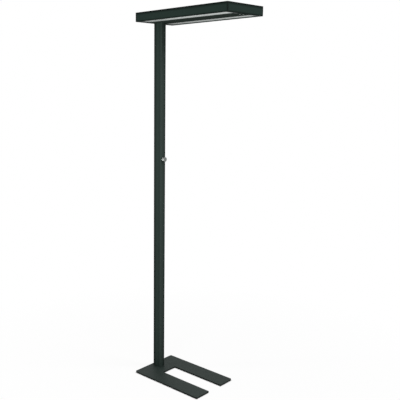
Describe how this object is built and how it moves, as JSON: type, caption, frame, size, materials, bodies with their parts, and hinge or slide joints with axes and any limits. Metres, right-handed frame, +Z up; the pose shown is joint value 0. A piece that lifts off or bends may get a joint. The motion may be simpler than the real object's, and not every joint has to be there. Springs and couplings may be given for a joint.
{
  "type": "floor lamp",
  "caption": "Office floor lamp with a slotted flat steel foot, a rectangular mast with a push-and-turn dimmer knob, and a flat rectangular head with light strips.",
  "frame": {"origin": "on the floor, below the middle of the lamp's length and width", "axes": "+X horizontal, from the mast towards the head's free end; +Y across the head; +Z up along the mast"},
  "size_m": [0.575, 0.3, 1.95],
  "materials": {
    "foot_coat": "satin powder coat on steel plate, anthracite with a slight green tint",
    "extrusion_coat": "satin powder coat on aluminium extrusions, anthracite with a slight green tint",
    "anthracite_moulding": "moulded, fine texture, matched to the powder coat",
    "pad_rubber": "matt",
    "zinc_steel": "zinc plated",
    "black_moulding": "moulded, matt",
    "grey_moulding": "moulded, matt",
    "lead_jacket": "extruded jacket, matt",
    "die_cast": "plated",
    "satin_steel": "turned and satin plated",
    "board_laminate": "solder mask",
    "white_extrusion": "white coat, diffuse",
    "white_board": "white solder mask",
    "opal_diffuser": "opal, satin surface",
    "driver_case": "moulded, matt"
  },
  "bodies": {
    "lamp": {"base_plate": "foot_coat", "base_pads": "pad_rubber", "base_screws": "zinc_steel", "mast": "extrusion_coat", "cable_bushing": "black_moulding", "mains_coupler": "grey_moulding", "mains_lead": "lead_jacket", "dimmer_housing": "die_cast", "dimmer_board": "board_laminate", "push_switch": "black_moulding", "dimmer_washer": "zinc_steel", "dimmer_nut": "zinc_steel", "control_lead": "lead_jacket", "rail_near": "extrusion_coat", "rail_far": "extrusion_coat", "rail_mast_end": "extrusion_coat", "rail_free_end": "extrusion_coat", "corner_keys": "zinc_steel", "key_screws": "zinc_steel", "spine_beam": "extrusion_coat", "spine_brackets": "zinc_steel", "slide_nuts": "zinc_steel", "bracket_screws": "zinc_steel", "mast_plate": "zinc_steel", "head_screws": "zinc_steel", "chamber_near": "white_extrusion", "chamber_far": "white_extrusion", "chamber_end_caps": "anthracite_moulding", "down_board_near": "white_board", "down_board_far": "white_board", "up_board_near": "white_board", "up_board_far": "white_board", "down_diffuser_near": "opal_diffuser", "down_diffuser_far": "opal_diffuser", "up_diffuser_near": "opal_diffuser", "up_diffuser_far": "opal_diffuser", "top_cover": "extrusion_coat", "cover_screws": "zinc_steel", "driver": "driver_case", "driver_screws": "zinc_steel", "terminal_block": "grey_moulding", "driver_lead": "lead_jacket", "board_leads": "lead_jacket", "sensor_housing": "black_moulding", "sensor_board": "board_laminate", "presence_lens": "opal_diffuser", "daylight_lens": "opal_diffuser", "sensor_lead": "lead_jacket"},
    "push_carrier": {"push_plunger": "satin_steel"},
    "knob": {"dimmer_shaft": "satin_steel", "dimmer_knob": "satin_steel", "knob_set_screw": "zinc_steel"}
  },
  "joints": [
    {"name": "dimmer_push", "type": "slide", "parent": "lamp", "child": "push_carrier", "axis": [-1, 0, 0], "range_m": [0, 0.001], "stiffness_N_per_m": 3000},
    {"name": "dimmer_turn", "type": "hinge", "parent": "push_carrier", "child": "knob", "pos_m": [-0.2205, 0, 1.195], "axis": [1, 0, 0], "continuous": true}
  ]
}
